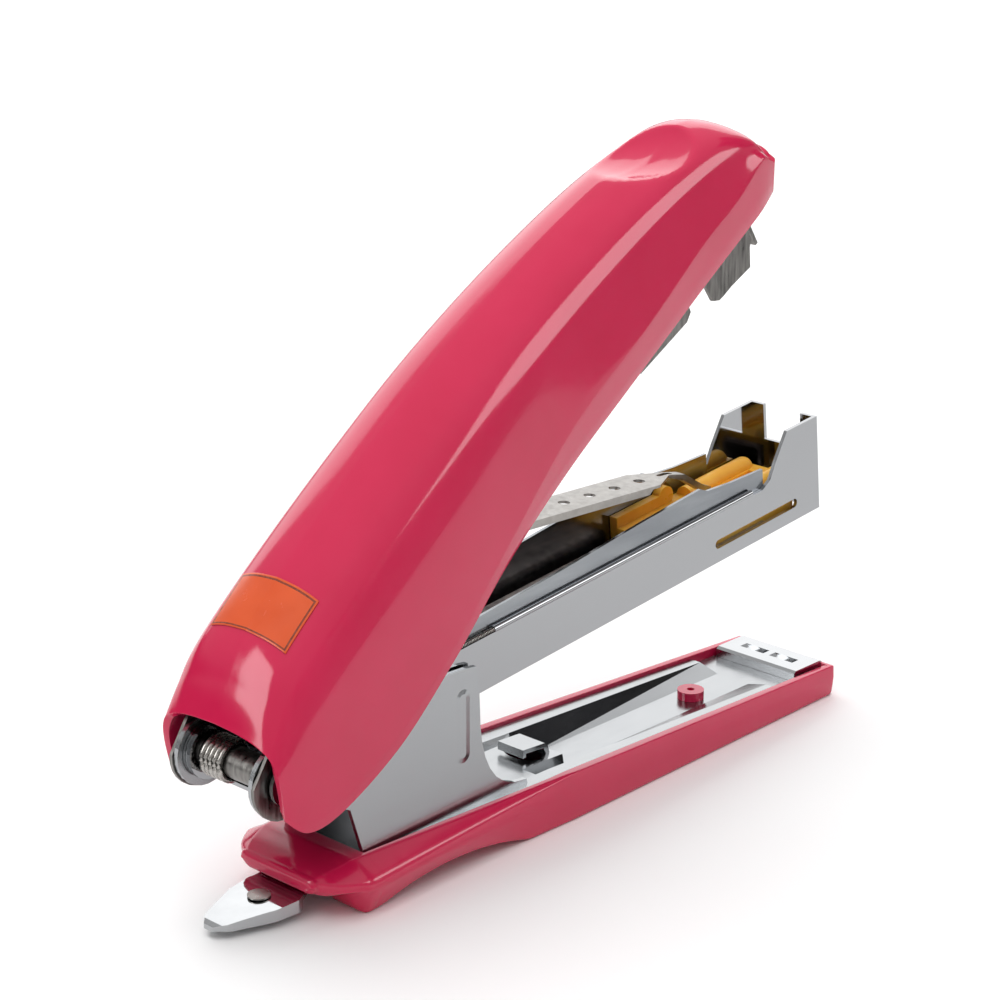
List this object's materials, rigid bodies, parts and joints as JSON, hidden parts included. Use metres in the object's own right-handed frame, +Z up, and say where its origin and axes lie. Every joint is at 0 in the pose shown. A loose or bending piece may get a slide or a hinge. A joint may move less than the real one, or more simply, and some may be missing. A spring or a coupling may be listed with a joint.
{
  "type": "stapler",
  "caption": "Small hand stapler with a curved plastic handle, open channel magazine and steel base plate, standing open.",
  "frame": {"origin": "on the underside, at the middle of the base's flat front pad, on the mirror plane", "axes": "+X from the hinge to the nose, +Y to the left, +Z up from the table"},
  "size_m": [0.1041, 0.0204, 0.0801],
  "materials": {
    "body_plastic": "glossy moulded plastic, rose pink",
    "frame_chrome": "bright plated sheet steel",
    "liner_steel": "bright rolled steel, faintly blue",
    "link_steel": "satin zinc plated steel",
    "driver_steel": "darker brushed steel",
    "spring_steel": "bright drawn wire",
    "pusher_plastic": "amber moulded plastic",
    "label": "plain orange sticker, no lettering"
  },
  "bodies": {
    "base": {"base_cover": "body_plastic", "base_frame": "frame_chrome", "anvil": "frame_chrome", "plate_stud": "body_plastic", "staple_remover": "frame_chrome", "remover_rivet": "link_steel", "pivot_pin": "frame_chrome", "pivot_washers": "link_steel", "return_spring": "spring_steel"},
    "magazine": {"magazine_channel": "frame_chrome", "staple_liner": "liner_steel", "staple_rail": "liner_steel", "rail_rivets": "link_steel", "pivot_bush": "driver_steel", "pusher_springs": "spring_steel"},
    "pusher": {"staple_pusher": "pusher_plastic"},
    "handle": {"handle_cover": "body_plastic", "cover_label": "label", "driver_arm": "driver_steel", "driver_blade": "driver_steel", "blade_rivets": "link_steel", "link_pin": "link_steel", "cover_clips": "body_plastic"},
    "link": {"link_plate": "link_steel"}
  },
  "joints": [
    {"name": "magazine_hinge", "type": "hinge", "parent": "base", "child": "magazine", "pos_m": [-0.068, 0, 0.01915], "axis": [0, -1, 0], "range_deg": [-12.5, 0], "stiffness_Nm_per_rad": 0.25, "springref_deg": 20.05, "deforming": ["return_spring"]},
    {"name": "handle_hinge", "type": "hinge", "parent": "magazine", "child": "handle", "pos_m": [-0.068, 0, 0.01915], "axis": [0, -1, 0], "range_deg": [-23.5, 30]},
    {"name": "pusher_slide", "type": "slide", "parent": "magazine", "child": "pusher", "axis": [0.9942, 0, 0.108], "range_m": [-0.027, 0], "stiffness_N_per_m": 20, "springref_m": 0.05},
    {"name": "link_hinge", "type": "hinge", "parent": "handle", "child": "link", "pos_m": [-0.04789, 0, 0.03775], "axis": [0, -1, 0], "range_deg": [-41, 32]}
  ],
  "couplings": [
    {"joint": "link_hinge", "follows": "handle_hinge", "ratio": -1.35}
  ]
}
